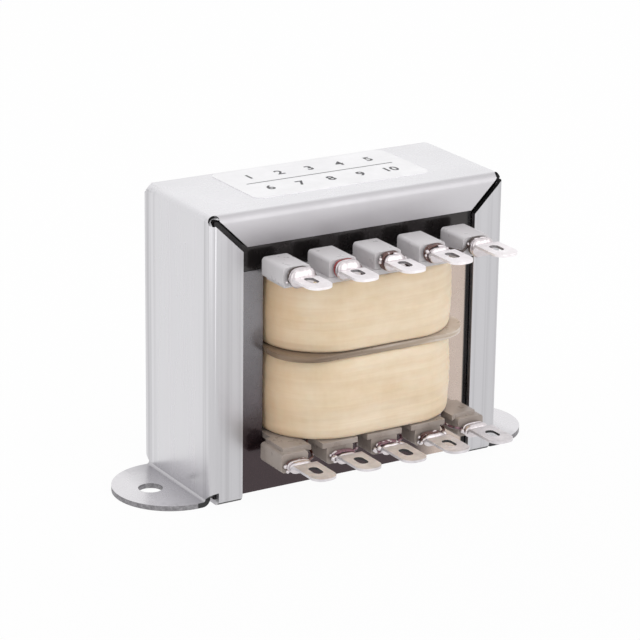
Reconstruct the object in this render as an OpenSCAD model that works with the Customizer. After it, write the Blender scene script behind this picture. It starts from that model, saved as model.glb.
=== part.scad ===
// Laminated mains transformer in a one-piece channel frame, for bolting to a chassis.
// Upright EI core, split bobbin with two taped windings, and two rows of solder lugs.
// Origin: midway between the two mounting holes, on the underside of the feet.
// X runs along the feet, -Y is the side with the lugs, Z is up.

/* [Core] */
// Width of the centre leg
tongue_w = 25.4; // [22:0.1:30]
// Width of each winding window
window_w = 12.7; // [11:0.1:16]
// Width of each outer leg
leg_w = 12.7; // [10:0.1:16]
// Height of the winding window
window_h = 41.5; // [36:0.1:50]
// Height of each yoke
yoke_h = 12.7; // [10:0.1:16]
// Thickness of one lamination
sheet_t = 0.62; // [0.45:0.01:0.8]
// Varnish film between two laminations
sheet_film = 0.02; // [0.01:0.01:0.05]
// Pairs of laminations in the stack, one of each pair turned over
sheet_pairs = 24; // [18:1:28]
// Air gap where an E lamination meets its I lamination
joint_gap = 0.15; // [0.02:0.01:0.3]
// Height of the core above the chassis
core_lift = 2; // [1.9:0.1:5]

/* [Channel frame] */
// Thickness of the sheet steel
steel_t = 1.25; // [0.8:0.05:1.6]
// Inside radius of the bends round the core
bend_in = 0.7; // [0.4:0.05:0.7]
// Clearance between the core and the frame
core_gap = 0.22; // [0.21:0.01:0.5]
// Width of the side lips
lip_w = 8.2; // [5:0.1:11]
// Height of the top lips
top_lip_h = 8; // [5:0.1:11]
// Gap along the mitres between top and side lips
mitre_gap = 1.5; // [0.5:0.1:2]
// Diameter of the relief holes in the top corners
relief_d = 2.7; // [2.4:0.1:4]
// Length of the crimp tabs under the core
tab_len = 5; // [3:0.1:9]
// Slope of the notches beside the feet
notch_angle = 36; // [20:1:50]

/* [Feet] */
// Radius of each foot's outline
foot_r = 14; // [11:0.1:14.8]
// Distance from the frame's side to the centre of that radius
foot_centre = 1.6; // [1:0.1:3]
// Distance from the frame's side to the mounting hole
hole_reach = 7; // [5:0.1:9]
// Diameter of the mounting holes
hole_d = 5.8; // [4:0.1:6.4]
// Inside radius of the bend above each foot
foot_bend = 0.7; // [0.4:0.05:1]

/* [Bobbin] */
// Wall of the tube round the centre leg
tube_wall = 1.2; // [0.8:0.1:2]
// Thickness of the three flanges
flange_t = 1.3; // [1:0.1:1.6]
// How far the flanges stand out from the core's faces
flange_reach = 13; // [11:0.1:15]
// Corner radius of the flanges
flange_r = 10; // [5:0.5:11]
// Height of the middle flange above the bobbin's middle
mid_shift = 1.2; // [-4:0.1:4]
// Clearance round the centre leg
tongue_gap = 0.3; // [0.2:0.05:0.6]
// Clearance between the flanges and the outer legs
side_gap = 0.3; // [0.2:0.05:0.6]
// Clearance between the bobbin's ends and the yokes
end_gap = 0.2; // [0.1:0.05:0.5]

/* [Terminal blocks] */
// Lugs in each row
row_count = 5; // [3:1:5]
// Distance between neighbouring lugs
pitch = 12.05; // [11:0.05:12.6]
// Width of each block
block_w = 7.1; // [5:0.1:7.8]
// Length of each block
block_len = 9.6; // [8:0.1:11]
// Height of each block beyond its flange
block_h = 4.1; // [3:0.1:5]
// Distance from the core's face to the blocks
block_gap = 3.2; // [2:0.1:4]
// How much narrower each side of the ridge along a block is
ridge_in = 1.3; // [0.6:0.1:1.8]
// Height of that ridge
ridge_h = 0.8; // [0.4:0.1:0.9]
// Rounding of the blocks' outer edges
block_r = 0.9; // [0.3:0.1:1.2]
// Width of the lead slots between the blocks
slot_w = 2.6; // [2.2:0.1:3.4]

/* [Windings] */
// Thickness of the tape wrapped round each winding
tape_t = 1.5; // [0.8:0.1:2.5]
// Clearance between the tape and the outer legs
coil_gap = 0.7; // [0.4:0.1:1.5]
// How far the tape stands out from the core's faces
coil_reach = 13.4; // [10:0.1:15]
// Corner radius of the tape
coil_r = 15; // [8:0.5:18]
// Bands of lapped tape in each wrap
bands = 9; // [5:2:13]
// Step where one band laps over the next
lap = 0.12; // [0.05:0.01:0.2]
// How far the tape swells at half its height
swell = 0.6; // [0.2:0.1:1]
// Clearance between windings, tape and flanges
wind_gap = 0.1; // [0.05:0.05:0.2]

/* [Lugs] */
// Width of the tab
lug_w = 6.35; // [5:0.05:7]
// Thickness of the strip
lug_t = 0.6; // [0.4:0.05:0.8]
// Length of the whole strip
lug_len = 20; // [19:0.1:22]
// Corner radius of the tab's end
lug_r = 2.6; // [1.5:0.1:3]
// Width of the neck that holds the wire
neck_w = 3.2; // [2.4:0.1:4]
// Length of the neck
neck_len = 3; // [2.8:0.1:3.6]
// Length of strip inside the block, on the lugs of the lower row
shank_len = 5; // [3:0.1:6]
// Width of the oblong hole
eye_w = 2.4; // [1.4:0.1:3]
// Length of the oblong hole
eye_len = 4.3; // [3:0.1:5]
// Distance from the tab's end to the middle of the hole
eye_back = 5.6; // [4.5:0.1:6]

/* [Leads] */
// Diameter of the enamelled wire
wire_d = 0.7; // [0.4:0.05:0.8]
// Turns of each lead round its lug's neck
turns = 2.25; // [1.25:0.5:2.25]
// Half-width of the turns
turn_x = 2.7; // [2.4:0.1:2.9]
// Half-height of the turns on the upper row
turn_z = 1.9; // [1:0.1:2.2]
// How much flatter the turns on the lower row are
turn_less = 0.7; // [0:0.1:0.8]

/* [Label] */
// Length of the label
label_w = 47.5; // [30:0.5:60]
// Width of the label
label_d = 23; // [12:0.5:24]
// Thickness of the label
label_t = 0.12; // [0.1:0.01:0.2]
// Corner radius of the label
label_r = 2.5; // [1:0.5:4]
// Offset of the label along the top
label_x = 0.7; // [-5:0.1:5]
// Offset of the label towards the rear
label_y = 3.2; // [0:0.1:3.3]

/* [Hidden] */
$fn = 64;

// Core
lam_w = tongue_w + 2 * window_w + 2 * leg_w;
lam_h = window_h + 2 * yoke_h;
e_h = lam_h - yoke_h - joint_gap;
sheet_count = 2 * sheet_pairs;
sheet_pitch = sheet_t + sheet_film;
stack = sheet_count * sheet_pitch - sheet_film;
core_top = core_lift + lam_h;

// Frame: half sizes to the inside (in) and outside (out) of the sheet
bend_out = bend_in + steel_t;
frame_in_x = lam_w / 2 + core_gap;
frame_out_x = frame_in_x + steel_t;
frame_in_y = stack / 2 + core_gap;
frame_out_y = frame_in_y + steel_t;
frame_top = core_top + core_gap + steel_t;
corner_x = frame_out_x - bend_out;
corner_y = frame_out_y - bend_out;
corner_z = frame_top - bend_out;
lip_edge_x = frame_out_x - lip_w;
lip_edge_z = frame_top - top_lip_h;
tab_top = core_lift - core_gap;
foot_root = sqrt(foot_r * foot_r - (foot_centre - foot_bend) * (foot_centre - foot_bend));
hole_x = frame_out_x + hole_reach;

// Bobbin
tube_in_x = tongue_w / 2 + tongue_gap;
tube_in_y = stack / 2 + tongue_gap;
tube_out_x = tube_in_x + tube_wall;
tube_out_y = tube_in_y + tube_wall;
bobbin_low = core_lift + yoke_h + end_gap;
bobbin_high = core_top - yoke_h - end_gap;
bobbin_mid = (bobbin_low + bobbin_high) / 2;
mid_flange_z = bobbin_mid + mid_shift - flange_t / 2;
flange_x = tongue_w / 2 + window_w - side_gap;
flange_y = stack / 2 + flange_reach;
block_back_y = stack / 2 + block_gap;
block_front_y = block_back_y + block_len;
ridge_w = block_w - 2 * ridge_in;
deck_x = (row_count - 1) / 2 * pitch + ridge_w / 2;
deck_back_y = block_back_y;
deck_front_y = block_front_y - 1.6;
slot_back_y = tube_out_y + slot_w;

// Windings
coil_x = tongue_w / 2 + window_w - coil_gap - swell;
coil_y = stack / 2 + coil_reach - swell;

// Lugs: heights are over the neck, away from the bobbin's middle
slope_len = 1.6;
bend_steps = 10;
neck_z = bobbin_high + block_h / 2;
// Height of each lug's tab over its neck, and how much deeper than the rest it sits
tab_rise = [0.2, 0.3, 0.6, 1.1, 1.1, -1.1, -1.2, -1.0, -0.9, -1.1];
seat = [3, 2.9, 2.2, 1.2, 1, 0.1, 0.2, 0, 0.2, 0.1];

// Leads
turn_pitch = wire_d + 0.1;
ring_sides = 8;
turn_steps = 16;
run_steps = 4;
solder_gap = 0.12;
turn_gap = 0.1;

// ---- shared shapes ----

// Rectangle with round corners, centred
module round_rect(w, d, r) {
    square([w - 2 * r, d], center = true);
    square([w, d - 2 * r], center = true);
    for (sx = [-1, 1], sy = [-1, 1])
        translate([sx * (w / 2 - r), sy * (d / 2 - r)])
            circle(r);
}

// Quarter of a ring in the first quadrant, turned about its centre
module quarter_ring(inner, outer, turn) {
    rotate(turn)
        intersection() {
            difference() {
                circle(outer);
                circle(inner);
            }
            square(outer + 1);
        }
}

// Shape drawn in X and Z, drawn out along Y between two values
module along_y(from, to) {
    translate([0, to, 0])
        rotate([90, 0, 0])
            linear_extrude(to - from)
                children();
}

// Shape drawn in Y and Z, drawn out along X between two values
module along_x(from, to) {
    translate([from, 0, 0])
        rotate([90, 0, 90])
            linear_extrude(to - from)
                children();
}

// Parts at the upper end of the bobbin, or mirrored to its lower end
module at_row(upper) {
    translate([0, 0, upper ? 0 : 2 * bobbin_mid])
        mirror([0, 0, upper ? 0 : 1])
            children();
}

// ---- core ----

function sheet_y(i) = -stack / 2 + i * sheet_pitch;

// One E lamination, yoke at the bottom or turned over
module e_sheet(i, turned) {
    translate([0, 0, turned ? 2 * core_lift + lam_h : 0])
        mirror([0, 0, turned ? 1 : 0])
            along_y(sheet_y(i), sheet_y(i) + sheet_t)
                difference() {
                    translate([-lam_w / 2, core_lift])
                        square([lam_w, e_h]);
                    for (side = [-1, 1])
                        translate([side * (tongue_w + window_w) / 2 - window_w / 2, core_lift + yoke_h])
                            square([window_w, window_h]);
                }
}

module i_sheet(i, z) {
    translate([-lam_w / 2, sheet_y(i), z])
        cube([lam_w, sheet_t, yoke_h]);
}

module front_e_lamination() {
    color([0.22, 0.2, 0.2])
        e_sheet(0, false);
}

module rear_e_lamination() {
    color([0.22, 0.2, 0.2])
        e_sheet(sheet_count - 1, true);
}

module e_laminations_yoke_down() {
    color([0.25, 0.23, 0.23])
        for (i = [2 : 2 : sheet_count - 2])
            e_sheet(i, false);
}

module e_laminations_yoke_up() {
    color([0.28, 0.26, 0.26])
        for (i = [1 : 2 : sheet_count - 3])
            e_sheet(i, true);
}

module i_laminations_top() {
    color([0.25, 0.23, 0.23])
        for (i = [0 : 2 : sheet_count - 2])
            i_sheet(i, core_top - yoke_h);
}

module i_laminations_bottom() {
    color([0.28, 0.26, 0.26])
        for (i = [1 : 2 : sheet_count - 1])
            i_sheet(i, core_lift);
}

// ---- channel frame ----

// Web, sides and the bends between them, front view
module channel_section() {
    translate([-corner_x, frame_top - steel_t])
        square([2 * corner_x, steel_t]);
    for (side = [0, 1])
        mirror([side, 0]) {
            translate([corner_x, corner_z])
                quarter_ring(bend_in, bend_out, 0);
            translate([frame_in_x, steel_t + foot_bend])
                square([steel_t, corner_z - steel_t - foot_bend]);
        }
}

// One foot with the bend that joins it to the side
module foot() {
    along_y(-foot_root, foot_root)
        translate([frame_out_x + foot_bend, steel_t + foot_bend])
            quarter_ring(foot_bend, foot_bend + steel_t, 180);
    linear_extrude(steel_t)
        intersection() {
            translate([frame_out_x + foot_centre, 0])
                circle(foot_r, $fn = 96);
            translate([frame_out_x + foot_bend, -foot_r])
                square(2 * foot_r);
        }
}

// Lips of the front face: flat part, front view
module lip_outline() {
    difference() {
        translate([-corner_x, tab_top + bend_in])
            square([2 * corner_x, corner_z - tab_top - bend_in]);
        translate([-lip_edge_x, -1])
            square([2 * lip_edge_x, lip_edge_z + 1]);
    }
}

// Lips, their bends and the crimp tabs that hold the core, on the front
module front_lips() {
    along_y(-frame_out_y, -frame_in_y)
        lip_outline();
    along_x(-corner_x, corner_x)
        translate([-corner_y, corner_z])
            quarter_ring(bend_in, bend_out, 90);
    for (side = [0, 1])
        mirror([side, 0, 0]) {
            translate([corner_x, -corner_y, steel_t + foot_bend])
                linear_extrude(corner_z - steel_t - foot_bend)
                    quarter_ring(bend_in, bend_out, 270);
            along_x(lip_edge_x, corner_x) {
                translate([-corner_y, tab_top + bend_in])
                    quarter_ring(bend_in, bend_out, 180);
                translate([-corner_y, tab_top - steel_t])
                    square([tab_len, steel_t]);
            }
        }
}

// Mitre slot from a top corner to the inner corner of the lips
module mitre_slot() {
    slope = atan2(top_lip_h, lip_w);
    run = sqrt(top_lip_h * top_lip_h + lip_w * lip_w) + mitre_gap;
    along_y(-frame_out_y - 1, -corner_y)
        translate([frame_out_x, frame_top])
            rotate(180 + slope)
                translate([0, -mitre_gap / 2])
                    square([run, mitre_gap]);
}

// Round hole where three bends would meet, drilled along the corner's diagonal
module corner_relief() {
    translate([corner_x, -corner_y, corner_z])
        rotate([0, atan(sqrt(2)), -45])
            cylinder(d = relief_d, h = 2 * bend_out);
}

// Sloped notch that frees a foot from the end of the lip
module foot_notch() {
    rise = steel_t + foot_bend;
    reach = frame_out_y + 1 - foot_root;
    along_x(corner_x, frame_out_x + foot_bend + steel_t)
        polygon([
            [-foot_root, -1],
            [-foot_root, rise],
            [-foot_root - reach, rise + reach * tan(notch_angle)],
            [-foot_root - reach, -1]
        ]);
}

module channel_frame() {
    color([0.82, 0.82, 0.84])
        difference() {
            union() {
                along_y(-corner_y, corner_y)
                    channel_section();
                for (back = [0, 1])
                    mirror([0, back, 0])
                        front_lips();
                for (side = [0, 1])
                    mirror([side, 0, 0])
                        foot();
            }
            for (side = [0, 1], back = [0, 1])
                mirror([side, 0, 0])
                    mirror([0, back, 0]) {
                        mitre_slot();
                        corner_relief();
                        foot_notch();
                    }
            for (side = [-1, 1])
                translate([side * hole_x, 0, -1])
                    cylinder(d = hole_d, h = steel_t + 2);
        }
}

// ---- bobbin ----

function row_x(i) = (i - (row_count - 1) / 2) * pitch;

// Slot beside block i, on its right, or on the left of the last block
function lead_side(i) = i < row_count - 1 ? 1 : -1;
function slot_x(i) = row_x(i) + lead_side(i) * pitch / 2;

module flange_outline() {
    round_rect(2 * flange_x, 2 * flange_y, flange_r);
}

// Outer flange with the deck that carries the terminal blocks
module end_flange_outline() {
    difference() {
        union() {
            flange_outline();
            translate([-deck_x, -deck_front_y])
                square([2 * deck_x, deck_front_y - deck_back_y]);
        }
        for (i = [0 : row_count - 2])
            translate([slot_x(i) - slot_w / 2, -flange_y - 1])
                square([slot_w, flange_y + 1 - slot_back_y]);
    }
}

// One terminal block, its ridge against the flange, and the slot for the shank of its lug
module terminal_block(i, upper) {
    translate([row_x(i), 0, 0])
        difference() {
            union() {
                along_y(-block_front_y, -block_back_y)
                    translate([0, bobbin_high + (block_h - flange_t + ridge_h) / 2])
                        round_rect(block_w, block_h + flange_t - ridge_h, block_r);
                along_y(-deck_front_y, -block_back_y)
                    translate([-ridge_w / 2, bobbin_high - flange_t])
                        square([ridge_w, flange_t]);
            }
            translate([
                -neck_w / 2 - wind_gap / 2,
                -block_front_y - 1,
                neck_z - lug_t / 2 - wind_gap / 2
            ])
                cube([
                    neck_w + wind_gap,
                    shank_len + seat[upper ? i : i + row_count] + 1 + wind_gap,
                    lug_t + wind_gap
                ]);
        }
}

module bobbin() {
    color([0.86, 0.86, 0.82])
        difference() {
            union() {
                translate([0, 0, bobbin_low])
                    linear_extrude(bobbin_high - bobbin_low)
                        round_rect(2 * tube_out_x, 2 * tube_out_y, tube_wall);
                translate([0, 0, mid_flange_z])
                    linear_extrude(flange_t)
                        flange_outline();
                for (upper = [true, false])
                    at_row(upper) {
                        translate([0, 0, bobbin_high - flange_t])
                            linear_extrude(flange_t)
                                end_flange_outline();
                        for (i = [0 : row_count - 1])
                            terminal_block(i, upper);
                    }
            }
            translate([-tube_in_x, -tube_in_y, bobbin_low - 1])
                cube([2 * tube_in_x, 2 * tube_in_y, bobbin_high - bobbin_low + 2]);
        }
}

// ---- windings ----

// Copper between the tube and the tape, from z0 to z1
module winding(z0, z1) {
    translate([0, 0, z0 + wind_gap])
        linear_extrude(z1 - z0 - 2 * wind_gap)
            difference() {
                inset = tape_t + wind_gap;
                round_rect(2 * (coil_x - inset), 2 * (coil_y - inset), coil_r - inset);
                round_rect(2 * (tube_out_x + wind_gap), 2 * (tube_out_y + wind_gap), tube_wall + wind_gap);
            }
}

// Turns of tape, lapped in bands over an even roll that swells towards half its height
module tape_wrap(z0, z1) {
    low = z0 + wind_gap;
    high = z1 - wind_gap;
    band_h = (high - low) / bands;
    difference() {
        union() {
            translate([0, 0, low])
                linear_extrude(high - low)
                    round_rect(2 * coil_x, 2 * coil_y, coil_r);
            for (i = [1 : bands - 2]) {
                out = (swell - lap) * sin(180 * (i + 0.5) / bands) + lap * (i % 2);
                translate([0, 0, low + i * band_h])
                    linear_extrude(band_h)
                        round_rect(2 * (coil_x + out), 2 * (coil_y + out), coil_r + out);
            }
        }
        translate([0, 0, z0 - 1])
            linear_extrude(z1 - z0 + 2)
                round_rect(2 * (coil_x - tape_t), 2 * (coil_y - tape_t), coil_r - tape_t);
    }
}

module primary_winding() {
    color([0.62, 0.3, 0.16])
        winding(bobbin_low + flange_t, mid_flange_z);
}

module secondary_winding() {
    color([0.62, 0.3, 0.16])
        winding(mid_flange_z + flange_t, bobbin_high - flange_t);
}

module lower_tape_wrap() {
    color([0.88, 0.78, 0.64])
        tape_wrap(bobbin_low + flange_t, mid_flange_z);
}

module upper_tape_wrap() {
    color([0.88, 0.78, 0.64])
        tape_wrap(mid_flange_z + flange_t, bobbin_high - flange_t);
}

// ---- lugs ----

function ease(v) = v <= 0 ? 0 : v >= 1 ? 1 : v * v * (3 - 2 * v);

// Height of the strip's middle over the neck, at distance u in front of the block
function strip_rise(u, n) = tab_rise[n] * ease((u - neck_len) / slope_len);

// Distances in front of the block at which the strip's bend is stepped
function strip_marks() = [
    for (k = [0 : bend_steps])
        neck_len + slope_len * k / bend_steps
];

// Distance from the block to the tab's end
function lug_end(n) = lug_len - shank_len - seat[n];

// Side view of the strip: its middle line thickened square to itself
module strip_profile(n) {
    us = concat([-shank_len - seat[n], 0], strip_marks(), [lug_end(n)]);
    mids = [for (u = us) [-u, strip_rise(u, n)]];
    last = len(mids) - 1;
    dirs = [for (k = [0 : last]) mids[min(k + 1, last)] - mids[max(k - 1, 0)]];
    sides = [for (d = dirs) [-d[1], d[0]] / norm(d) * lug_t / 2];
    polygon(concat(
        [for (k = [0 : last]) mids[k] + sides[k]],
        [for (k = [last : -1 : 0]) mids[k] - sides[k]]
    ));
}

// Plan of the lug: shank and neck, then the tab with its round end
module lug_plan(n) {
    far = lug_end(n);
    tab_mid = (neck_len + far) / 2;
    difference() {
        union() {
            translate([-neck_w / 2, -neck_len - lug_t])
                square([neck_w, shank_len + seat[n] + neck_len + lug_t]);
            translate([0, -tab_mid])
                round_rect(lug_w, far - neck_len, lug_r);
            translate([0, -tab_mid + lug_r / 2])
                round_rect(lug_w, far - neck_len - lug_r, lug_t);
        }
        for (end = [-1, 1])
            translate([0, -far + eye_back + end * (eye_len - eye_w) / 2])
                circle(d = eye_w);
        translate([-eye_w / 2, -far + eye_back - (eye_len - eye_w) / 2])
            square([eye_w, eye_len - eye_w]);
    }
}

// Terminals 1 to 5 stand in the upper row and 6 to 10 in the lower, left to right
module terminal(number) {
    n = number - 1;
    upper = n < row_count;
    color([0.84, 0.83, 0.82])
        at_row(upper)
            translate([row_x(n % row_count), -block_front_y, neck_z])
                intersection() {
                    along_x(-lug_w, lug_w)
                        strip_profile(n);
                    translate([0, 0, -lug_len])
                        linear_extrude(2 * lug_len)
                            lug_plan(n);
                }
}

// ---- leads ----

// Point on a smooth curve through p1 and p2
function curve_point(p0, p1, p2, p3, v) =
    (2 * p1 + (p2 - p0) * v + (2 * p0 - 5 * p1 + 4 * p2 - p3) * v * v
     + (3 * p1 - p0 - 3 * p2 + p3) * v * v * v) / 2;

function smooth_path(p) = [
    for (k = [0 : len(p) - 2], s = [0 : run_steps - 1])
        curve_point(p[max(k - 1, 0)], p[k], p[k + 1], p[min(k + 2, len(p) - 1)], s / run_steps)
];

function unit(v) = v / norm(v);

// Ring directions carried along the path without twisting
function carry(dirs, k = 1, found = []) =
    len(found) == 0 ? carry(dirs, 1, [unit(cross(dirs[0], [0, 0.6, 0.8] + [dirs[0][1], 0, 0]))]) :
    k >= len(dirs) ? found :
    carry(dirs, k + 1, concat(found, [
        unit(found[k - 1] - (found[k - 1] * dirs[k]) * dirs[k])
    ]));

// Round wire along a list of points
module wire(points, d) {
    last = len(points) - 1;
    dirs = [for (k = [0 : last]) unit(points[min(k + 1, last)] - points[max(k - 1, 0)])];
    ups = carry(dirs);
    rings = [
        for (k = [0 : last], s = [0 : ring_sides - 1])
            points[k] + d / 2 * (cos(360 * s / ring_sides) * ups[k]
                                 + sin(360 * s / ring_sides) * cross(dirs[k], ups[k]))
    ];
    skin = [
        for (k = [0 : last - 1], s = [0 : ring_sides - 1])
            let (a = k * ring_sides + s, b = k * ring_sides + (s + 1) % ring_sides)
            [a, b, b + ring_sides, a + ring_sides]
    ];
    polyhedron(rings, concat(
        skin,
        [[for (s = [ring_sides - 1 : -1 : 0]) s]],
        [[for (s = [0 : ring_sides - 1]) last * ring_sides + s]]
    ));
}

// Half-height of the turns on lug n
function turn_half(n) = n < row_count ? turn_z : turn_z - turn_less;

// Route of a lead in its own block's frame: x from the lug's middle towards its slot,
// y forward from the block's front, z from the neck
function lead_route(away, n) = [
    [away, -block_len / 2, wire_d / 2 - flange_t - block_h / 2],
    [away, -block_len / 2, wire_d - block_h / 2],
    [away, -block_len / 3, wire_d * 1.5 - block_h / 2],
    [(away + block_w / 2 + wire_d) / 2, -wire_d, -turn_half(n) / 2],
    [block_w / 2 + wire_d * 0.7, wire_d * 0.7, -turn_half(n) / 2]
];

// Point of the turns: round at the sides and straight over and under the neck
function turn_point(v, n) =
    let (c = cos(360 * v), s = sin(360 * v), b = turn_half(n))
    [
        b * c + (turn_x - b) * max(-1, min(1, 3 * c)),
        wire_d / 2 + turn_gap + turn_pitch * v,
        b * s
    ];

function lead_turns(n) = [
    for (k = [0 : turns * turn_steps])
        turn_point(k / turn_steps, n)
];

// Lead from the winding through its slot to its turns round the neck
module lead(number) {
    n = number - 1;
    i = n % row_count;
    side = lead_side(i);
    shift = i >= row_count - 2 ? (wire_d + 0.3) / 2 : 0;
    route = concat(lead_route(pitch / 2 - shift, n), [turn_point(0, n)]);
    color([0.3, 0.1, 0.08])
        at_row(n < row_count)
            translate([row_x(i), -block_front_y, neck_z])
                mirror([side > 0 ? 0 : 1, 0, 0])
                    mirror([0, 1, 0])
                        wire(concat(smooth_path(route), lead_turns(n)), wire_d);
}

// Solder that fills the turns of wire round the neck
module solder(number) {
    n = number - 1;
    half_x = turn_x - wire_d / 2 - solder_gap;
    half_z = turn_half(n) - wire_d / 2 - solder_gap;
    color([0.75, 0.74, 0.73])
        at_row(n < row_count)
            translate([row_x(n % row_count), -block_front_y, neck_z])
                difference() {
                    along_y(wire_d / 2 - neck_len, -wire_d / 2)
                        round_rect(2 * half_x, 2 * half_z, 0.9 * half_z);
                    translate([-neck_w / 2 - solder_gap, -neck_len, -lug_t / 2 - solder_gap])
                        cube([neck_w + 2 * solder_gap, neck_len, lug_t + 2 * solder_gap]);
                }
}

// ---- label ----

module rating_label() {
    color("white")
        translate([label_x, label_y, frame_top])
            linear_extrude(label_t)
                round_rect(label_w, label_d, label_r);
}

channel_frame();
front_e_lamination();
rear_e_lamination();
e_laminations_yoke_down();
e_laminations_yoke_up();
i_laminations_top();
i_laminations_bottom();
bobbin();
primary_winding();
secondary_winding();
lower_tape_wrap();
upper_tape_wrap();
for (number = [1 : 2 * row_count]) {
    terminal(number);
    lead(number);
    solder(number);
}
rating_label();
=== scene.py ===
"""Laminated chassis transformer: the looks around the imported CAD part.

Lengths are in metres and are written as millimetres times MM.
"""

import math
import random

import bmesh
import bpy
from mathutils import Matrix, Vector, noise


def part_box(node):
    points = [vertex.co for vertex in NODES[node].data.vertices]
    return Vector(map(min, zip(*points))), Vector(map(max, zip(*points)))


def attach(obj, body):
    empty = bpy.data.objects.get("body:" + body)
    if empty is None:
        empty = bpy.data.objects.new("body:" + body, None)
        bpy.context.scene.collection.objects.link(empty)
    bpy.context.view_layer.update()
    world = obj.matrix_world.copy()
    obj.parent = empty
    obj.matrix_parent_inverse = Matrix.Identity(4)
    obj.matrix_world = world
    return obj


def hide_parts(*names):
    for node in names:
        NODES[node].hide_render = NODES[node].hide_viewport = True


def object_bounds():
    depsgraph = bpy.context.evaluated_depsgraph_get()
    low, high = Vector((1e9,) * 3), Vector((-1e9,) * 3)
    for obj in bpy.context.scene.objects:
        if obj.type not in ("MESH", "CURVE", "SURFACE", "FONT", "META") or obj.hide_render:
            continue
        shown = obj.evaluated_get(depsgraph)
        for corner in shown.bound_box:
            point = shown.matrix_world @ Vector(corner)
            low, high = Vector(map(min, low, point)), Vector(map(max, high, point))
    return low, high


MM = 0.001
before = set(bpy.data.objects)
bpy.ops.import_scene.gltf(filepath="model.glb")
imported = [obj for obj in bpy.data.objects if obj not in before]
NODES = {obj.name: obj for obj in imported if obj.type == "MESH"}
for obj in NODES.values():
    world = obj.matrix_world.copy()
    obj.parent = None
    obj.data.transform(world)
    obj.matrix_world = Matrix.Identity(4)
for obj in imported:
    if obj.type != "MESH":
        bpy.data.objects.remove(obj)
cad_low, cad_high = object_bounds()
scene = bpy.context.scene
rng = random.Random(7)


# ---- places taken from the frame ----

frame_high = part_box("channel_frame")[1]
sheet_low, sheet_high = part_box("front_e_lamination")
bobbin_low, bobbin_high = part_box("bobbin")
label_low, label_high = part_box("rating_label")
STEEL_T = 1.25 * MM         # sheet of the channel frame
CORE_GAP = 0.22 * MM        # between the core and the frame
LIP_W = 8.2 * MM
SIDE_X = sheet_high.x + CORE_GAP + STEEL_T      # outside of the frame's side walls
LIP_X = SIDE_X - LIP_W                          # inner edge of a side lip
MITRE = frame_high.z - SIDE_X                   # height less width along a mitre
CORE_HALF_Y = -sheet_low.y
BLOCK_FRONT = bobbin_low.y                      # front face of the terminal blocks


# ---- node helpers ----

WHITE = (1, 1, 1, 1)
MIX_SHARE, MIX_A, MIX_B, MIX_OUT = 0, 6, 7, 2   # sockets of a Mix node that mixes colours


def srgb(r, g, b):
    """Linear colour from 0-255 display values."""
    def lin(c):
        c /= 255
        return c / 12.92 if c <= 0.04045 else ((c + 0.055) / 1.055) ** 2.4
    return (lin(r), lin(g), lin(b), 1)


class Tree:
    """Short calls that add nodes to a node tree; coords is the space that they work in."""

    def __init__(self, tree, coords):
        self.nodes, self.links = tree.nodes, tree.links
        self.coords = self.nodes.new("ShaderNodeTexCoord").outputs[coords]

    def link(self, source, target):
        self.links.new(source, target)

    def put(self, socket, value):
        if isinstance(value, bpy.types.NodeSocket):
            self.link(value, socket)
        else:
            socket.default_value = value

    def axis(self, which):
        node = self.nodes.new("ShaderNodeSeparateXYZ")
        self.link(self.coords, node.inputs[0])
        return node.outputs[which]

    def math(self, op, a, b=0.0):
        node = self.nodes.new("ShaderNodeMath")
        node.operation = op
        self.put(node.inputs[0], a)
        self.put(node.inputs[1], b)
        return node.outputs[0]

    def remap(self, value, low, high, to_low=0.0, to_high=1.0):
        node = self.nodes.new("ShaderNodeMapRange")
        node.inputs["From Min"].default_value = low
        node.inputs["From Max"].default_value = high
        node.inputs["To Min"].default_value = to_low
        node.inputs["To Max"].default_value = to_high
        self.link(value, node.inputs["Value"])
        return node.outputs["Result"]

    def spread(self, value, to_low=0.0, to_high=1.0):
        """Stretches a noise, most of which lies between 0.3 and 0.7, over a whole range."""
        return self.remap(value, 0.3, 0.7, to_low, to_high)

    def seen_rays(self):
        """1 for rays that show a thing to the camera, straight or in metal and glass."""
        path = self.nodes.new("ShaderNodeLightPath")
        total = path.outputs["Is Camera Ray"]
        for kind in ("Is Glossy Ray", "Is Transmission Ray"):
            total = self.math("MAXIMUM", total, path.outputs[kind])
        return total

    def seen_as(self, plain, shown, share):
        """A plain shader that seen rays meet as another one, by the given share."""
        node = self.nodes.new("ShaderNodeMixShader")
        self.put(node.inputs[0], self.math("MULTIPLY", self.seen_rays(), share))
        self.link(plain, node.inputs[1])
        self.link(shown, node.inputs[2])
        return node.outputs[0]


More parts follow.
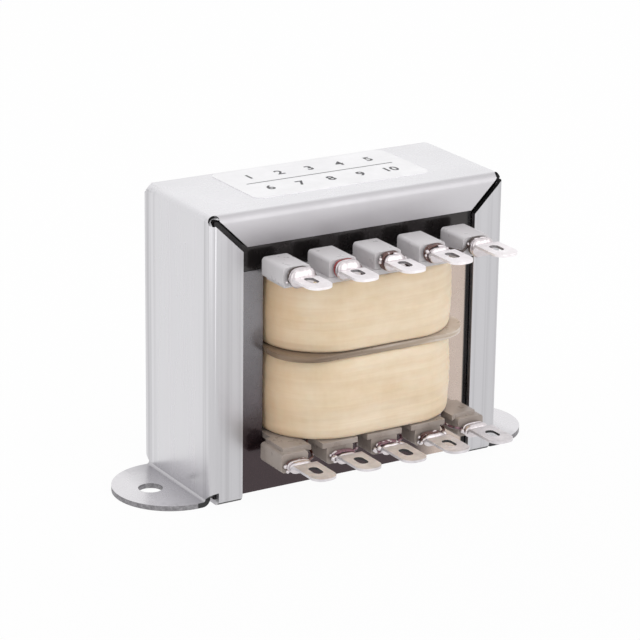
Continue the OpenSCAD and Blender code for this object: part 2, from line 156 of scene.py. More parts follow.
class Shader(Tree):
    """A Principled material and the calls that fill it."""

    def __init__(self, name, **values):
        self.mat = bpy.data.materials.new(name)
        self.mat.use_nodes = True
        super().__init__(self.mat.node_tree, "Object")
        self.bsdf = self.nodes["Principled BSDF"]
        for socket, value in values.items():
            self.bsdf.inputs[socket.replace("_", " ")].default_value = value

    def noise(self, scale, detail=4, rough=0.55):
        """Noise over the object; scale is in features per millimetre, or three of them."""
        if not isinstance(scale, tuple):
            scale = (scale, scale, scale)
        stretch = self.nodes.new("ShaderNodeMapping")
        stretch.inputs["Scale"].default_value = tuple(s / MM for s in scale)
        self.link(self.coords, stretch.inputs["Vector"])
        node = self.nodes.new("ShaderNodeTexNoise")
        node.inputs["Scale"].default_value = 1.0
        node.inputs["Detail"].default_value = detail
        node.inputs["Roughness"].default_value = rough
        self.link(stretch.outputs["Vector"], node.inputs["Vector"])
        return node.outputs["Fac"]

    def mix(self, share, a, b):
        """Colour a with a share of b; each is a value or a socket."""
        node = self.nodes.new("ShaderNodeMix")
        node.data_type = "RGBA"
        self.put(node.inputs[MIX_SHARE], share)
        self.put(node.inputs[MIX_A], a)
        self.put(node.inputs[MIX_B], b)
        return node.outputs[MIX_OUT]

    def layered(self, tone, *layers):
        """A tone with layers over it, each a share and a colour."""
        for share, colour in layers:
            tone = self.mix(share, tone, colour)
        return tone

    def colour(self, value):
        self.put(self.bsdf.inputs["Base Color"], value)

    def rough(self, value):
        self.put(self.bsdf.inputs["Roughness"], value)

    def bump(self, height, distance, strength):
        """Adds a bump of the given distance on top of any earlier one."""
        node = self.nodes.new("ShaderNodeBump")
        node.inputs["Strength"].default_value = strength
        node.inputs["Distance"].default_value = distance
        self.link(height, node.inputs["Height"])
        before = self.bsdf.inputs["Normal"]
        if before.is_linked:
            self.link(before.links[0].from_socket, node.inputs["Normal"])
        self.link(node.outputs["Normal"], before)


# ---- materials ----

MITRE_BLEND = 0.05 * MM     # half the width of the change of tone at a mitre


def plated_steel():
    """Bright sheet with upright streaks; the lips are duller. Painted shade darkens the side walls,
    the lips, the feet near the walls and bands in the side bends.
    """
    s = Shader("plated_steel", Metallic=1.0)
    cloud = s.noise(0.05, detail=3, rough=0.5)
    wide = s.math("ABSOLUTE", s.axis("X"))
    deep = s.math("ABSOLUTE", s.axis("Y"))
    height = s.axis("Z")

    # the mitres run down at 45 degrees from the frame's top corners
    above_mitre = s.math("SUBTRACT", s.math("SUBTRACT", height, wide), MITRE)
    at_top = s.remap(above_mitre, -MITRE_BLEND, MITRE_BLEND)
    at_side = s.remap(above_mitre, MITRE_BLEND, -MITRE_BLEND)
    on_lip = s.remap(deep, CORE_HALF_Y - 0.6 * MM, CORE_HALF_Y + 0.4 * MM)
    near_lip = s.remap(deep, CORE_HALF_Y - 7 * MM, CORE_HALF_Y - 1 * MM)
    # painted shade: the lips take darker tones in the colour below
    top_lip = s.math("MULTIPLY", on_lip, at_top)
    side_lip = s.math("MULTIPLY", on_lip, at_side)
    side_bend = s.math("MULTIPLY", near_lip, at_side)
    # painted shade: the side walls are darker than the top of the frame
    walls = s.remap(wide, SIDE_X - 1.2 * MM, SIDE_X - 0.2 * MM, 0.0, 0.8)
    feet = s.remap(height, 2.2 * MM, 1.4 * MM)

    streaks = s.remap(s.noise((0.22, 0.22, 0.003), detail=5, rough=0.65), 0.35, 0.7)
    streak_top = frame_high.z - LIP_W
    below_lip = s.remap(height, streak_top, streak_top - 2 * MM, 0.0, 0.8)
    # painted shade: darker upright bands in the side bends
    bend_bands = s.remap(s.noise((0.55, 0.55, 0.003), detail=4, rough=0.6), 0.5, 0.66)
    # painted shade: the feet darken towards the walls
    foot_shade = s.mix(s.remap(wide, SIDE_X + 10 * MM, SIDE_X + 1 * MM),
                      srgb(224, 222, 225), srgb(180, 178, 182))
    s.colour(s.layered(
        s.mix(s.spread(cloud), srgb(226, 225, 228), srgb(235, 234, 237)),
        (s.math("MULTIPLY", streaks, below_lip), srgb(224, 223, 226)),
        (walls, srgb(213, 212, 215)),
        (top_lip, srgb(196, 194, 197)),
        (feet, foot_shade),
        (side_lip, srgb(199, 198, 201)),
        (s.math("MULTIPLY", side_bend, bend_bands), srgb(184, 183, 186)),
    ))

    dull = s.math("ADD", s.math("MULTIPLY", top_lip, 0.28), s.math("MULTIPLY", side_bend, 0.08))
    smear = s.noise((0.2, 0.2, 0.02), detail=3)
    s.rough(s.math("ADD", s.spread(smear, 0.23, 0.31), dull))
    s.bump(s.noise((0.08, 0.08, 0.004), detail=2, rough=0.4), 0.5 * MM, 0.1)
    s.bump(cloud, 0.12 * MM, 0.15)
    return s.mat


def cut_edge(name, dark, light, metal):
    """Sheared sheet, with fine marks across it."""
    s = Shader(name, Metallic=metal)
    s.colour(s.mix(s.spread(s.noise(1.4)), dark, light))
    s.rough(s.spread(s.noise(2.0, detail=3), 0.35, 0.6))
    s.bump(s.noise(3.0), 0.05 * MM, 0.5)
    return s.mat


def varnished_core():
    """Varnished outer sheets with painted reflection and shade: dark below, greyer further up, pale
    on the right leg, dark on top.
    """
    s = Shader("varnished_core", Metallic=0.75, Coat_Weight=0.6, Coat_Roughness=0.12, Coat_IOR=1.5)
    cloud = s.noise(0.09, detail=5, rough=0.6)
    x, z = s.axis("X"), s.axis("Z")
    height = s.remap(z, sheet_low.z, sheet_high.z)
    across = s.remap(x, sheet_low.x, sheet_high.x)
    # painted reflection and shade: these tones follow what the varnish reflects
    lower = s.mix(cloud, srgb(42, 28, 33), srgb(66, 47, 52))
    upper = s.mix(cloud, srgb(106, 104, 107), srgb(138, 135, 139))
    left = s.mix(s.remap(height, 0.2, 0.75), lower, upper)
    right = s.mix(cloud, srgb(184, 167, 156), srgb(210, 193, 182))
    legs = s.mix(s.remap(across, 0.72, 0.8), left, right)
    yoke = s.mix(cloud, srgb(34, 30, 30), srgb(54, 50, 50))
    tone = s.mix(s.remap(z, sheet_high.z, sheet_high.z + 0.1 * MM), legs, yoke)
    # painted shade in the corners beside the lips
    corner = s.math("MAXIMUM", s.remap(x, LIP_X - 1.5 * MM, LIP_X - 1.1 * MM),
                    s.remap(x, 0.5 * MM - LIP_X, 0.2 * MM - LIP_X))
    s.colour(s.mix(corner, tone, srgb(22, 20, 22)))
    s.rough(s.spread(s.noise(0.4), 0.2, 0.32))
    s.bump(s.noise((0.1, 0.1, 0.04), detail=3), 0.06 * MM, 0.2)
    return s.mat


def sheet_stack():
    """Edges of the lamination pack: bright and varnished sheets by turns."""
    s = Shader("lamination_edges", Metallic=0.6)
    s.colour(s.mix(s.noise((0.2, 3.0, 0.2), detail=3), srgb(44, 38, 40), srgb(104, 96, 94)))
    s.rough(0.42)
    s.bump(s.noise((0.3, 2.0, 0.3), detail=3), 0.05 * MM, 0.4)
    return s.mat


def crepe_tape():
    """Cream paper tape with faint turns, warmer at its left end."""
    s = Shader("crepe_tape", Subsurface_Weight=0.12, Subsurface_Scale=0.8 * MM, Sheen_Weight=0.15)
    cloud = s.noise((0.05, 0.05, 0.1), rough=0.6)
    turns = s.noise((0.01, 0.01, 0.5), detail=5, rough=0.7)
    fibre = s.noise((0.5, 0.5, 0.2), detail=3, rough=0.6)
    s.colour(s.layered(
        s.mix(s.remap(cloud, 0.32, 0.68), srgb(222, 198, 164), srgb(238, 221, 196)),
        (s.remap(turns, 0.42, 0.68, 0.0, 0.42), srgb(214, 186, 150)),
        (s.remap(s.axis("X"), -19 * MM, -25 * MM, 0.0, 0.6), srgb(232, 190, 142)),
        (s.remap(fibre, 0.35, 0.7, 0.0, 0.15), srgb(244, 232, 210)),
    ))
    s.rough(s.spread(fibre, 0.62, 0.8))
    s.bump(turns, 0.2 * MM, 0.5)
    return s.mat


def moulded_nylon():
    """Milky nylon, with painted shade on its lower half; the thin middle flange shows the dark
    windings through it, with painted shade at its left end.
    """
    s = Shader("moulded_nylon", IOR=1.53, Sheen_Weight=0.1)
    cloud = s.spread(s.noise(0.1, detail=3, rough=0.6))
    height = s.axis("Z")
    middle = (bobbin_low.z + bobbin_high.z) / 2
    # painted shade: the lower half is darker than the upper
    upper = s.mix(cloud, srgb(201, 197, 199), srgb(214, 211, 213))
    lower = s.mix(cloud, srgb(142, 130, 122), srgb(172, 161, 153))
    milky = s.mix(s.remap(height, middle - 5 * MM, middle + 5 * MM), lower, upper)
    streak = s.remap(s.noise((0.06, 0.06, 0.8)), 0.38, 0.62)
    # the windings show through the flange, darker at its left as painted shade and lighter at its
    # right as painted light
    windings_and_shade_left = s.mix(streak, srgb(100, 80, 62), srgb(136, 114, 92))
    windings_and_light_right = s.mix(streak, srgb(192, 174, 154), srgb(228, 219, 210))
    across = s.remap(s.axis("X"), bobbin_low.x, bobbin_high.x)
    thin = s.mix(s.remap(across, 0.15, 0.95), windings_and_shade_left, windings_and_light_right)
    away = s.math("ABSOLUTE", s.math("SUBTRACT", height, middle))
    s.colour(s.mix(s.remap(away, 6 * MM, 8 * MM), thin, milky))
    s.rough(s.spread(s.noise(0.4, detail=3), 0.25, 0.4))
    s.bump(s.noise(0.15, detail=1), 0.1 * MM, 0.2)
    return s.mat


def tinned_brass():
    """Tinned lugs; the lower row is darker as painted shade."""
    s = Shader("tinned_brass", Metallic=0.6)
    cloud = s.spread(s.noise(0.4, rough=0.6))
    upper = s.mix(cloud, srgb(238, 232, 234), srgb(252, 248, 250))
    lower = s.mix(cloud, srgb(202, 198, 201), srgb(228, 224, 227))
    # painted shade: the lower row of lugs is darker
    s.colour(s.mix(s.remap(s.axis("Z"), 25 * MM, 45 * MM), lower, upper))
    s.rough(s.spread(s.noise(0.5, detail=3), 0.34, 0.48))
    s.bump(s.noise(0.35, detail=2), 0.16 * MM, 0.35)
    return s.mat


def solder():
    """Bright solder with shallow dents."""
    s = Shader("solder", Metallic=1.0)
    s.colour(s.mix(s.noise(0.9), srgb(190, 182, 184), srgb(230, 224, 226)))
    s.rough(s.spread(s.noise(1.0, detail=3), 0.27, 0.4))
    s.bump(s.noise(0.4, detail=1), 0.08 * MM, 0.25)
    return s.mat


def enamel(colour, dark, light, splash):
    """Enamelled wire; splash is how much of it specks of solder cover."""
    s = Shader("enamel_" + colour, Metallic=0.45, Coat_Weight=0.8, Coat_Roughness=0.12)
    speck_edge = 0.72 - 0.22 * splash
    specks = s.remap(s.noise(0.7, detail=3), speck_edge, speck_edge + 0.04)
    burnt = s.remap(s.noise(0.9, detail=2), 0.4, 0.3)
    s.colour(s.layered(
        s.mix(s.noise(1.6), dark, light),
        (specks, srgb(222, 212, 214)),
        (burnt, srgb(30, 20, 22)),
    ))
    s.rough(0.3)
    s.bump(s.noise(2.5, detail=3), 0.03 * MM, 0.4)
    return s.mat


def label_film():
    """Pale plastic film with a light gloss."""
    s = Shader("label_film", Coat_Weight=0.25, Coat_Roughness=0.25)
    s.colour(s.mix(s.spread(s.noise(0.15)), srgb(236, 235, 237), srgb(246, 245, 247)))
    s.rough(s.spread(s.noise(0.9, detail=3), 0.36, 0.5))
    s.bump(s.noise(1.2, detail=3), 0.008 * MM, 0.4)
    return s.mat


def label_ink():
    """Dark print, worn paler in places."""
    s = Shader("label_ink")
    worn = s.remap(s.noise(4.0, detail=3), 0.45, 0.75)
    s.colour(s.mix(worn, srgb(38, 38, 42), srgb(110, 110, 114)))
    s.rough(0.5)
    return s.mat


STEEL = plated_steel()
# near black as painted shade: the mitres, the notches, the bends under the lips and the lower lugs'
# eyes
EDGE_SHADE = cut_edge("sheared_edge_shade", srgb(10, 10, 11), srgb(34, 33, 35), metal=0.0)
FOOT_EDGE = cut_edge("foot_edge", srgb(120, 118, 121), srgb(156, 154, 157), metal=1.0)
EYE_WALL = cut_edge("eye_wall", srgb(96, 92, 94), srgb(150, 146, 148), metal=0.6)
CORE = varnished_core()
STACK = sheet_stack()
TAPE = crepe_tape()
NYLON = moulded_nylon()
TIN = tinned_brass()
SOLDER = solder()
ENAMELS = {
    "brown": enamel("brown", srgb(58, 30, 26), srgb(98, 50, 40), splash=0.4),
    "red": enamel("red", srgb(112, 18, 26), srgb(158, 40, 44), splash=0.0),
    "purple": enamel("purple", srgb(76, 44, 56), srgb(134, 88, 102), splash=0.7),
    "dark": enamel("dark", srgb(34, 24, 22), srgb(70, 48, 40), splash=0.0),
}
FILM = label_film()
INK = label_ink()


# ---- pieces ----

WELD = 0.002 * MM           # a CAD mesh's points nearer than this are one
FLAT = math.radians(0.4)    # its faces that meet at less than this are one


def finish_piece(obj, slot_name, *nodes):
    """Rides on the part and stands for the named CAD nodes; slot_name is not used."""
    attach(obj, "root")
    if nodes:
        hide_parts(*nodes)
    return obj


def dress(material, *nodes):
    """Gives a material to CAD nodes that are shown as they are."""
    for node in nodes:
        NODES[node].data.materials.clear()
        NODES[node].data.materials.append(material)


def add_object(name, mesh, *materials):
    obj = bpy.data.objects.new(name, mesh)
    scene.collection.objects.link(obj)
    for m in materials:
        mesh.materials.append(m)
    return obj


def mesh_from(name, bm):
    mesh = bpy.data.meshes.new(name)
    bm.to_mesh(mesh)
    bm.free()
    return mesh


def welded_copy(node):
    """bmesh of a CAD node with its seams closed."""
    bm = bmesh.new()
    bm.from_mesh(NODES[node].data)
    bmesh.ops.remove_doubles(bm, verts=bm.verts, dist=WELD)
    return bm


def smooth_by_angle(mesh, degrees):
    """Smooth shading, split where faces meet at more than the angle."""
    for p in mesh.polygons:
        p.use_smooth = True
    mesh.set_sharp_from_angle(angle=math.radians(degrees))


def rounded_copy(name, node, slot_name, *materials, width, segments, limit, paint=None):
    """Stands for a CAD node, with its edges sharper than limit degrees rounded off by a bevel.

    paint gives the material's number for each of the node's faces.
    """
    bm = welded_copy(node)
    bmesh.ops.dissolve_limit(bm, angle_limit=FLAT, verts=bm.verts, edges=bm.edges)
    bm.normal_update()
    if paint:
        for face in bm.faces:
            face.material_index = paint(face)
    mesh = mesh_from(name, bm)
    obj = add_object(name, mesh, *materials)
    bevel = obj.modifiers.new("edge", "BEVEL")
    bevel.width = width
    bevel.segments = segments
    bevel.limit_method = "ANGLE"
    bevel.angle_limit = math.radians(limit)
    bevel.harden_normals = True
    bevel.use_clamp_overlap = True
    smooth_by_angle(mesh, 60)
    return finish_piece(obj, slot_name, node)


# ---- frame, core and bobbin ----

PLATED, CUTS_AND_SHADE, FOOT_SIDE = range(3)   # the frame's materials, in their order
BEND = 1.95 * MM                        # outer radius of the folds
CUT_REACH, CUT_DROP = 4 * MM, 2 * MM    # how far from a top corner, and below it, its cuts lie
NOTCH_W, NOTCH_TOP = 2.2 * MM, 5 * MM   # where the notches beside the feet lie
DIAGONAL = Vector((1, 1, 1)).normalized()


def cut_at_corner(c, n):
    """True for the walls of a mitre and of the round hole that it ends in, at a top corner."""
    bends_meet = Vector((SIDE_X, frame_high.y, frame_high.z)) - Vector((BEND, BEND, BEND))
    spot = Vector((abs(c.x), abs(c.y), c.z)) - bends_meet
    if spot.length >= CUT_REACH or spot.z <= -CUT_DROP:
        return False
    outward = Vector((n.x if c.x > 0 else -n.x, n.y if c.y > 0 else -n.y, n.z))
    aside = spot - spot.dot(DIAGONAL) * DIAGONAL
    return abs(outward.dot(DIAGONAL)) < 0.2 and outward.dot(aside) < 0


def frame_paint(face):
    """Cut edges of the folded sheet, and the bends under its lips, take a near-black material as
    painted shade.
    """
    c, n = face.calc_center_median(), face.normal
    wide = abs(c.x)
    if cut_at_corner(c, n):
        return CUTS_AND_SHADE
    upright = abs(n.z) < 0.3
    if upright and c.z < STEEL_T and wide > SIDE_X + 0.5 * MM:
        return FOOT_SIDE
    if abs(n.x) < 0.1 and c.z < NOTCH_TOP:
        in_notch = wide > SIDE_X - NOTCH_W and abs(n.y) > 0.3
        # painted shade on the bends under the lips' lower ends
        under_lip = abs(c.y) > CORE_HALF_Y + 0.1 * MM and n.z < -0.5
        if in_notch or under_lip:
            return CUTS_AND_SHADE
    return PLATED


rounded_copy("folded_frame", "channel_frame", "plated_steel", STEEL, EDGE_SHADE, FOOT_EDGE,
             width=0.14 * MM, segments=2, limit=40, paint=frame_paint)
dress(CORE, "front_e_lamination", "rear_e_lamination", "i_laminations_top")
dress(STACK, "e_laminations_yoke_down", "e_laminations_yoke_up", "i_laminations_bottom")
dress(ENAMELS["brown"], "primary_winding", "secondary_winding")
rounded_copy("coil_former", "bobbin", "nylon", NYLON, width=0.28 * MM, segments=3, limit=40)


# ---- tape wraps ----

TAPE_AROUND, TAPE_ROWS = 260, 54    # points round the coil and steps up it
TAPE_CORNER = 15 * MM
TAPE_SWELL = 0.55 * MM              # how far the tape swells inside its CAD box
TAPE_WAVE = 9 * MM                  # size of its unevenness round the coil
TURN_T, TURN_COUNT = 0.16 * MM, 9   # unevenness of the lapped turns and how often it changes
FINE_T, FINE_COUNT = 0.07 * MM, 26  # the same for fine creases
EDGE_DROP, EDGE_REACH = 0.45 * MM, 0.35 * MM    # how the tape rounds off at its two edges
TOP_SINK, TOP_WAVE = 0.12 * MM, 0.22 * MM       # how far its upper edge hangs, evenly and in waves
LOW_LIFT, LOW_WAVE = 0.08 * MM, 0.15 * MM       # how far its lower edge rises
ROLL_TOP, ROLL_LOW = 0.2 * MM, 0.1 * MM         # how far inside its box the roll is closed
TOP_INSET, WALL_INSET = 0.5 * MM, 1.3 * MM      # insets of its top and of its hidden inner wall


def outline_point(half_x, half_y, radius, t):
    """Point and outward direction at fraction t round a rectangle with round corners.

    It starts at the middle of the front side and runs towards +X.
    """
    in_x, in_y = half_x - radius, half_y - radius
    corners = (Vector((in_x, -in_y)), Vector((in_x, in_y)),
               Vector((-in_x, in_y)), Vector((-in_x, -in_y)))
    arc = math.pi * radius / 2
    total = 4 * (in_x + in_y + arc)
    along = (t * total + in_x) % total
    for k, corner in enumerate(corners):
        side = 2 * (in_x, in_y)[k % 2]
        if along < side + arc or k == 3:
            angle = math.radians(90 * (k - 1 + max(0, along - side) / arc))
            out = Vector((math.cos(angle), math.sin(angle)))
            centre = corners[k - 1].lerp(corner, min(along / side, 1))
            return centre + out * radius, out
        along -= side + arc


def tape_roll(name, node, seed):
    """The lapped turns of tape: a swelling wall with turn steps and wavy edges."""
    low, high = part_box(node)
    height = high.z - low.z
    half_x, half_y = high.x - TAPE_SWELL, high.y - TAPE_SWELL
    outline = [outline_point(half_x, half_y, TAPE_CORNER, i / TAPE_AROUND)
               for i in range(TAPE_AROUND)]

    def uneven(p, quickness, level):
        """Noise at a point of the outline; quickness is how fast it changes round the coil."""
        spot = p * quickness / TAPE_WAVE
        return noise.noise(Vector((spot.x, spot.y, level)))

    def wall_point(p, out, v):
        """Point of the wall at fraction v of its height."""
        wave = abs(uneven(p, 1, seed))
        turn = uneven(p, 0.25, v * TURN_COUNT + seed * 3)
        fine = uneven(p, 0.7, v * FINE_COUNT + seed * 5)
        to_edge = min(v, 1 - v) * height
        swell = TAPE_SWELL * math.sin(math.pi * v) * 0.85 + TURN_T * turn + FINE_T * fine
        swell -= EDGE_DROP * math.exp(-to_edge / EDGE_REACH)
        if v > 0.5:
            shift = -(TOP_SINK + TOP_WAVE * wave) * (v - 0.5) * 2
        else:
            shift = (LOW_LIFT + LOW_WAVE * wave) * (0.5 - v) * 2
        q = p + out * min(swell, TAPE_SWELL * 0.98)
        return q.x, q.y, low.z + height * v + shift

    bm = bmesh.new()
    rings = []
    for j in range(TAPE_ROWS + 1):
        rings.append([bm.verts.new(wall_point(p, out, j / TAPE_ROWS)) for p, out in outline])
    # the top of the roll, its hidden inner wall and its underside close the mesh
    top, bottom = high.z - ROLL_TOP, low.z + ROLL_LOW
    for inset, z in ((TOP_INSET, top), (WALL_INSET, top), (WALL_INSET, bottom)):
        inner = [p - out * inset for p, out in outline]
        rings.append([bm.verts.new((q.x, q.y, z)) for q in inner])
    rings.append(rings[0])
    for a, b in zip(rings, rings[1:]):
        for i in range(TAPE_AROUND):
            k = (i + 1) % TAPE_AROUND
            bm.faces.new((a[i], a[k], b[k], b[i]))
    bmesh.ops.recalc_face_normals(bm, faces=bm.faces)
    mesh = mesh_from(name, bm)
    smooth_by_angle(mesh, 50)
    return finish_piece(add_object(name, mesh, TAPE), "crepe_tape", node)


tape_roll("tape_roll_lower", "lower_tape_wrap", 1.7)
tape_roll("tape_roll_upper", "upper_tape_wrap", 5.3)


# ---- lugs, leads and solder ----

# For each lug: the enamel of its lead; how far in front of the block, in millimetres, the lead's
# tinning and the coat of solder start; how much of the turns the coat covers; and its drops
LUGS = [
    ("dark", 0.95, 1.2, 1.06, 1), ("red", 1.2, 1.3, 1.02, 2), ("brown", 1.9, 1.9, 0.9, 3),
    ("brown", 2.0, 2.0, 0.85, 4), ("dark", 1.4, 1.6, 0.98, 2),
    ("brown", 1.2, 1.3, 0.95, 3), ("purple", 2.6, 2.3, 0.85, 9), ("purple", 2.7, 2.4, 0.85, 10),
    ("brown", 2.4, 2.0, 0.95, 9), ("purple", 0.9, 1.0, 1.05, 3),
]
UPPER_ROW = 5           # the first five lugs
WIRE_OUT = 0.82 * MM    # how far the turns of wire stand out of the drum of solder
DRUM_MID, DRUM_HALF = 1.5 * MM, 1.35 * MM   # place and half length of the drum
COAT_END = 3.5 * MM
VOXEL = 0.11 * MM       # grain at which the solder's lumps are fused
EYE_HALF = 1.5 * MM     # the eye lies within this of the lug's middle
TIP_TO_EYE = 1.5 * MM
BLOCK_TO_EYE = 3.6 * MM


def wire_piece(number, colour, tinned_from):
    """The CAD lead made round, bare enamel at first and tinned further out."""
    node = "lead_%d" % number
    bm = welded_copy(node)
    for face in bm.faces:
        ahead = BLOCK_FRONT - face.calc_center_median().y
        face.material_index = 1 if ahead > tinned_from else 0
        face.smooth = True
    wire = add_object("wire_%d" % number, mesh_from("wire_%d" % number, bm), ENAMELS[colour], SOLDER)
    rounding = wire.modifiers.new("round", "SUBSURF")
    rounding.levels = rounding.render_levels = 1
    finish_piece(wire, "enamelled_copper", node)


def solder_piece(number, start, cover, drops):
    """Solder round the neck: a drum inside the turns and a smooth coat from start outwards."""
    name, node = "solder_fillet_%d" % number, "solder_%d" % number
    low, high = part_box(node)
    middle = (low + high) / 2
    half = (high - low) / 2
    wrap = Vector((half.x + WIRE_OUT, 0, half.z + WIRE_OUT)) * cover
    coat = (COAT_END - start) / 2
    bm = bmesh.new()

    def lump(x, ahead, z, rx, ry, rz):
        place = Matrix.Translation(Vector((middle.x + x, BLOCK_FRONT - ahead, middle.z + z)))
        bmesh.ops.create_icosphere(bm, subdivisions=3, radius=1.0,
                                   matrix=place @ Matrix.Diagonal((rx, ry, rz, 1)))

    for t in (-0.5, -0.17, 0.17, 0.5):
        lump(t * half.x, DRUM_MID, 0, half.x * 0.6, DRUM_HALF, half.z)
    for t in (-0.42, -0.14, 0.14, 0.42):
        lump(t * wrap.x, start + coat, 0, wrap.x * 0.6, coat * rng.uniform(1.0, 1.1),
             wrap.z * rng.uniform(0.97, 1.03))
    for k in range(drops):
        side = 1 if k % 2 else -1
        r = rng.uniform(0.35, 0.62) * MM
        lump(side * (half.x + rng.uniform(0.4, 1.5) * MM), rng.uniform(0.6, 2.8) * MM,
             rng.uniform(-0.9, 0.9) * half.z, r, r * 1.15, r)
    blob = add_object(name, mesh_from(name, bm), SOLDER)
    fuse = blob.modifiers.new("fuse", "REMESH")
    fuse.mode = "VOXEL"
    fuse.voxel_size = VOXEL
    fuse.use_smooth_shade = True
    soft = blob.modifiers.new("soft", "SMOOTH")
    soft.iterations = 14
    finish_piece(blob, "solder_metal", node)


def eye_paint(node):
    """Paint that marks the walls of a lug's eye, which are darker than its tinned faces."""
    low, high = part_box(node)
    mid_x = (low.x + high.x) / 2

    def paint(face):
        c = face.calc_center_median()
        along = low.y + TIP_TO_EYE < c.y < BLOCK_FRONT - BLOCK_TO_EYE
        in_eye = abs(c.x - mid_x) < EYE_HALF and along
        return 1 if in_eye and abs(face.normal.z) < 0.35 else 0
    return paint


for number, (colour, tinned_from, coat_from, cover, drops) in enumerate(LUGS, 1):
    node = "terminal_%d" % number
    rounded_copy("lug_%d" % number, node, "tinned_brass",
                 TIN, EYE_WALL if number <= UPPER_ROW else EDGE_SHADE,
                 width=0.2 * MM, segments=3, limit=35, paint=eye_paint(node))
    wire_piece(number, colour, tinned_from * MM)
    solder_piece(number, coat_from * MM, cover, drops)


# ---- label ----

label_mid = (label_low + label_high) / 2
INK_T = 0.02 * MM
INK_Z = label_high.z + 0.012 * MM   # middle of the ink, which just clears the film
FIGURE = 4.2 * MM
FIGURE_BOLD = 0.09 * MM             # how much the strokes are thickened
FIGURE_PITCH = 8.2 * MM
FIGURE_ROW = 5 * MM                 # each row's distance from the label's middle
RULE_SHARE, RULE_D = 0.84, 0.35 * MM

dress(FILM, "rating_label")


def printed(name, x, y, body):
    """Plain figures printed on the label, as a thin layer of ink."""
    curve = bpy.data.curves.new(name, "FONT")
    curve.body = body
    curve.size = FIGURE
    curve.align_x = "CENTER"
    curve.align_y = "CENTER"
    curve.extrude = INK_T / 2
    curve.offset = FIGURE_BOLD
    curve.resolution_u = 3
    obj = bpy.data.objects.new(name, curve)
    scene.collection.objects.link(obj)
    obj.location = (label_mid.x + x, label_mid.y + y, INK_Z)
    bpy.context.view_layer.update()
    shaped = obj.evaluated_get(bpy.context.evaluated_depsgraph_get())
    mesh = bpy.data.meshes.new_from_object(shaped)
    mesh.transform(obj.matrix_world)
    bpy.data.objects.remove(obj)
    mesh.materials.clear()
    return finish_piece(add_object(name, mesh, INK), "label_film")


def ruled(name, w, d):
    """A thin printed rule across the middle of the label."""
    bm = bmesh.new()
    bmesh.ops.create_cube(bm, size=1.0)
    for v in bm.verts:
        v.co = Vector((label_mid.x + v.co.x * w, label_mid.y + v.co.y * d, INK_Z + v.co.z * INK_T))
    return finish_piece(add_object(name, mesh_from(name, bm), INK), "label_film")


for k in range(5):
    x = (k - 2) * FIGURE_PITCH
    printed("print_upper_%d" % (k + 1), x, FIGURE_ROW, str(k + 1))
    printed("print_lower_%d" % (k + 1), x, -FIGURE_ROW, str(k + 6))
ruled("print_rule_middle", (label_high.x - label_low.x) * RULE_SHARE, RULE_D)


# ---- floor, light, camera ----

FLOOR_HALF = 3.0
FLOOR_GAP = 0.05 * MM       # the floor's distance below the feet
FLOOR_SEEN_WHITE = 0.96     # the rest of it shows the object's shadow
AZIMUTH, ELEVATION, ROLL = -31.27, 18.70, 0.768     # degrees
DISTANCE = 690.4 * MM
AIM = Vector((-0.8, 0, 35.21)) * MM
FOCAL_MM, SENSOR_MM = 163.2, 36.0


def pale_floor():
    """A pale floor, a little darker in front, so that it lights the lower blocks and lugs less."""
    s = Shader("pale_floor")
    s.colour(s.mix(s.remap(s.axis("Y"), -0.1, 0.06), (0.64, 0.64, 0.64, 1), (0.9, 0.9, 0.9, 1)))
    s.rough(0.8)
    glow = s.nodes.new("ShaderNodeEmission")
    glow.inputs["Color"].default_value = WHITE
    glow.inputs["Strength"].default_value = 1.0
    surface = s.seen_as(s.bsdf.outputs[0], glow.outputs[0], FLOOR_SEEN_WHITE)
    s.link(surface, s.nodes["Material Output"].inputs["Surface"])
    return s.mat


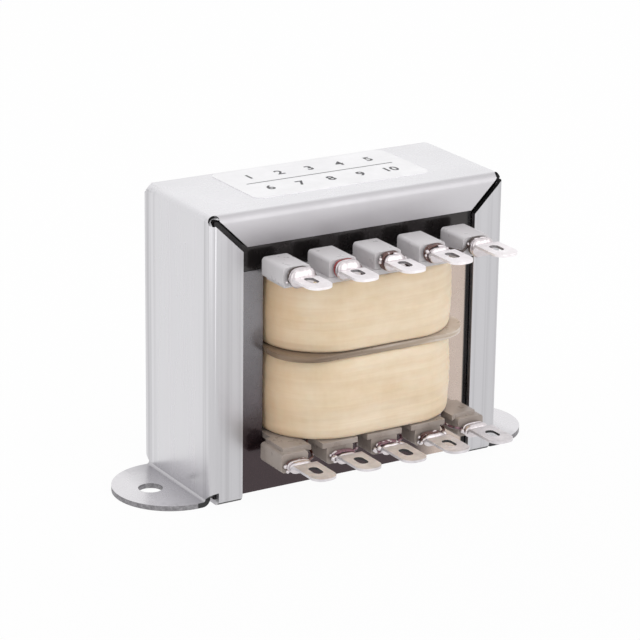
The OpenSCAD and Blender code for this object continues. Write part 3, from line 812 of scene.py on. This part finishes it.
def studio_world():
    """A white sky as seen; what it lights the object with grows towards the back and the right."""
    world = bpy.data.worlds.new("studio")
    world.use_nodes = True
    sky = Tree(world.node_tree, "Generated")
    light = sky.nodes["Background"]
    light.inputs["Color"].default_value = WHITE
    back = sky.remap(sky.axis("Y"), -0.9, 0.6, 0.78, 1.0)
    right = sky.remap(sky.axis("X"), -0.7, 0.3, 0.7, 1.0)
    sky.link(sky.math("MULTIPLY", back, right), light.inputs["Strength"])
    shown = sky.nodes.new("ShaderNodeBackground")
    shown.inputs["Color"].default_value = WHITE
    shown.inputs["Strength"].default_value = 1.0
    surface = sky.seen_as(light.outputs[0], shown.outputs[0], 1.0)
    sky.link(surface, sky.nodes["World Output"].inputs["Surface"])
    return world


def softbox(name, place, size, power):
    """A soft lamp that faces the object."""
    lamp = bpy.data.lights.new(name, "AREA")
    lamp.shape = "RECTANGLE"
    lamp.size, lamp.size_y = size
    lamp.energy = power
    obj = bpy.data.objects.new(name, lamp)
    scene.collection.objects.link(obj)
    obj.location = place
    obj.rotation_mode = "QUATERNION"
    to_object = (cad_low + cad_high) / 2 - Vector(place)
    obj.rotation_quaternion = to_object.to_track_quat("-Z", "Y")


def photo_camera():
    """The camera that was fitted to the photograph, with no shift and no depth of field."""
    cam = bpy.data.cameras.new("camera")
    cam.lens = FOCAL_MM
    cam.sensor_width = SENSOR_MM
    cam.clip_start = 0.01
    obj = bpy.data.objects.new("camera", cam)
    scene.collection.objects.link(obj)
    a, e, r = map(math.radians, (AZIMUTH, ELEVATION, ROLL))
    back = Vector((math.sin(a) * math.cos(e), -math.cos(a) * math.cos(e), math.sin(e)))
    level = Vector((math.cos(a), math.sin(a), 0))
    upright = back.cross(level)
    right = math.cos(r) * level + math.sin(r) * upright
    up = math.cos(r) * upright - math.sin(r) * level
    turned = Matrix((right, up, back)).transposed().to_4x4()
    obj.matrix_world = Matrix.Translation(AIM + back * DISTANCE) @ turned
    return obj


bm = bmesh.new()
bmesh.ops.create_grid(bm, x_segments=1, y_segments=1, size=FLOOR_HALF)
floor = add_object("floor", mesh_from("floor", bm), pale_floor())
floor.location.z = cad_low.z - FLOOR_GAP

scene.world = studio_world()
softbox("overhead", (0.05, -0.05, 0.6), (0.7, 0.6), power=0.3)
softbox("left", (-0.7, -0.05, 0.35), (0.6, 0.6), power=0.7)
softbox("front", (0.15, -0.8, 0.35), (1.0, 0.8), power=3.0)
scene.camera = photo_camera()
scene.view_settings.view_transform = "Standard"
